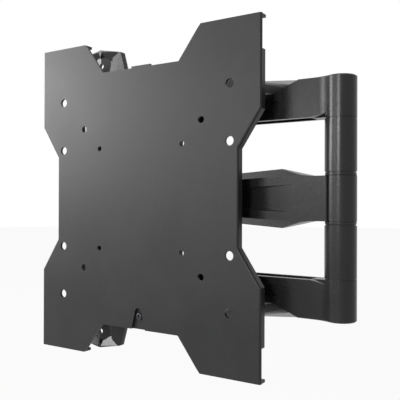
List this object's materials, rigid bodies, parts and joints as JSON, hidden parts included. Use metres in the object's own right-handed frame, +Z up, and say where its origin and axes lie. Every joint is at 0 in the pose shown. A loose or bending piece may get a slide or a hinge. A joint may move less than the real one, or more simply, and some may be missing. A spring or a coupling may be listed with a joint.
{
  "type": "swivel tv wall mount",
  "caption": "Black swivel television wall mount, folded: cast wall bracket, twin wall arms, elbow post, single forearm, tilting head and an eared television plate.",
  "frame": {"origin": "on the wall, at the centre of the wall bracket's back face", "axes": "+X to the right as the screen is watched, +Y into the wall, +Z up; -Y points out of the wall towards the viewer"},
  "size_m": [0.3484, 0.07, 0.3416],
  "materials": {
    "cast_black": "black powder coat on a die casting",
    "post_black": "black powder coat on steel tube",
    "sheet_black": "satin black powder coat on folded sheet",
    "nylon_black": "moulded black nylon",
    "zinc_steel": "bright zinc plate",
    "bolt_black": "black zinc plate"
  },
  "bodies": {
    "wall_side": {"wall_bracket": "cast_black", "upper_pivot_bolt": "zinc_steel", "lower_pivot_bolt": "zinc_steel", "upper_pivot_washer": "zinc_steel", "lower_pivot_washer": "zinc_steel"},
    "wall_arms": {"upper_arm": "cast_black", "lower_arm": "cast_black", "upper_pivot_bush": "nylon_black", "lower_pivot_bush": "nylon_black", "upper_pivot_cap": "nylon_black", "lower_pivot_cap": "nylon_black", "elbow_shaft": "zinc_steel", "upper_sleeve": "post_black", "lower_sleeve": "post_black", "upper_elbow_ring": "nylon_black", "lower_elbow_ring": "nylon_black", "upper_elbow_washer": "zinc_steel", "lower_elbow_washer": "zinc_steel", "upper_elbow_screw": "zinc_steel", "lower_elbow_screw": "zinc_steel", "upper_elbow_cap": "nylon_black", "lower_elbow_cap": "nylon_black"},
    "folding_arm": {"forearm": "cast_black", "upper_elbow_bush": "nylon_black", "lower_elbow_bush": "nylon_black", "upper_swivel_bush": "nylon_black", "lower_swivel_bush": "nylon_black"},
    "turning_head": {"swivel_head": "sheet_black", "swivel_pin": "bolt_black", "swivel_nut": "bolt_black", "roll_bolt": "bolt_black", "roll_washer": "bolt_black", "roll_lock_screws": "bolt_black"},
    "tilting_yoke": {"tilt_head": "sheet_black", "right_tilt_washer": "nylon_black", "left_tilt_washer": "nylon_black", "right_tilt_bolt": "bolt_black", "left_tilt_bolt": "bolt_black", "right_tilt_nut": "bolt_black", "left_tilt_nut": "bolt_black"},
    "screen_side": {"hook_bracket": "sheet_black", "television_plate": "sheet_black", "lock_screw": "bolt_black"}
  },
  "joints": [
    {"name": "wall_pivot", "type": "hinge", "parent": "wall_side", "child": "wall_arms", "pos_m": [0, -0.025, 0], "axis": [0, 0, -1], "range_deg": [0, 75]},
    {"name": "elbow", "type": "hinge", "parent": "wall_arms", "child": "folding_arm", "pos_m": [0.2932, -0.0305, 0], "axis": [0, 0, 1], "range_deg": [0, 180]},
    {"name": "head_swivel", "type": "hinge", "parent": "folding_arm", "child": "turning_head", "pos_m": [0.1072, -0.034, 0], "axis": [0, 0, -1], "range_deg": [-7, 12]},
    {"name": "levelling", "type": "hinge", "parent": "turning_head", "child": "tilting_yoke", "pos_m": [0.1072, -0.052, 0], "axis": [0, 1, 0], "range_deg": [-5, 5]},
    {"name": "tilt", "type": "hinge", "parent": "tilting_yoke", "child": "screen_side", "pos_m": [0.1072, -0.059, 0], "axis": [1, 0, 0], "range_deg": [-5, 12]}
  ]
}
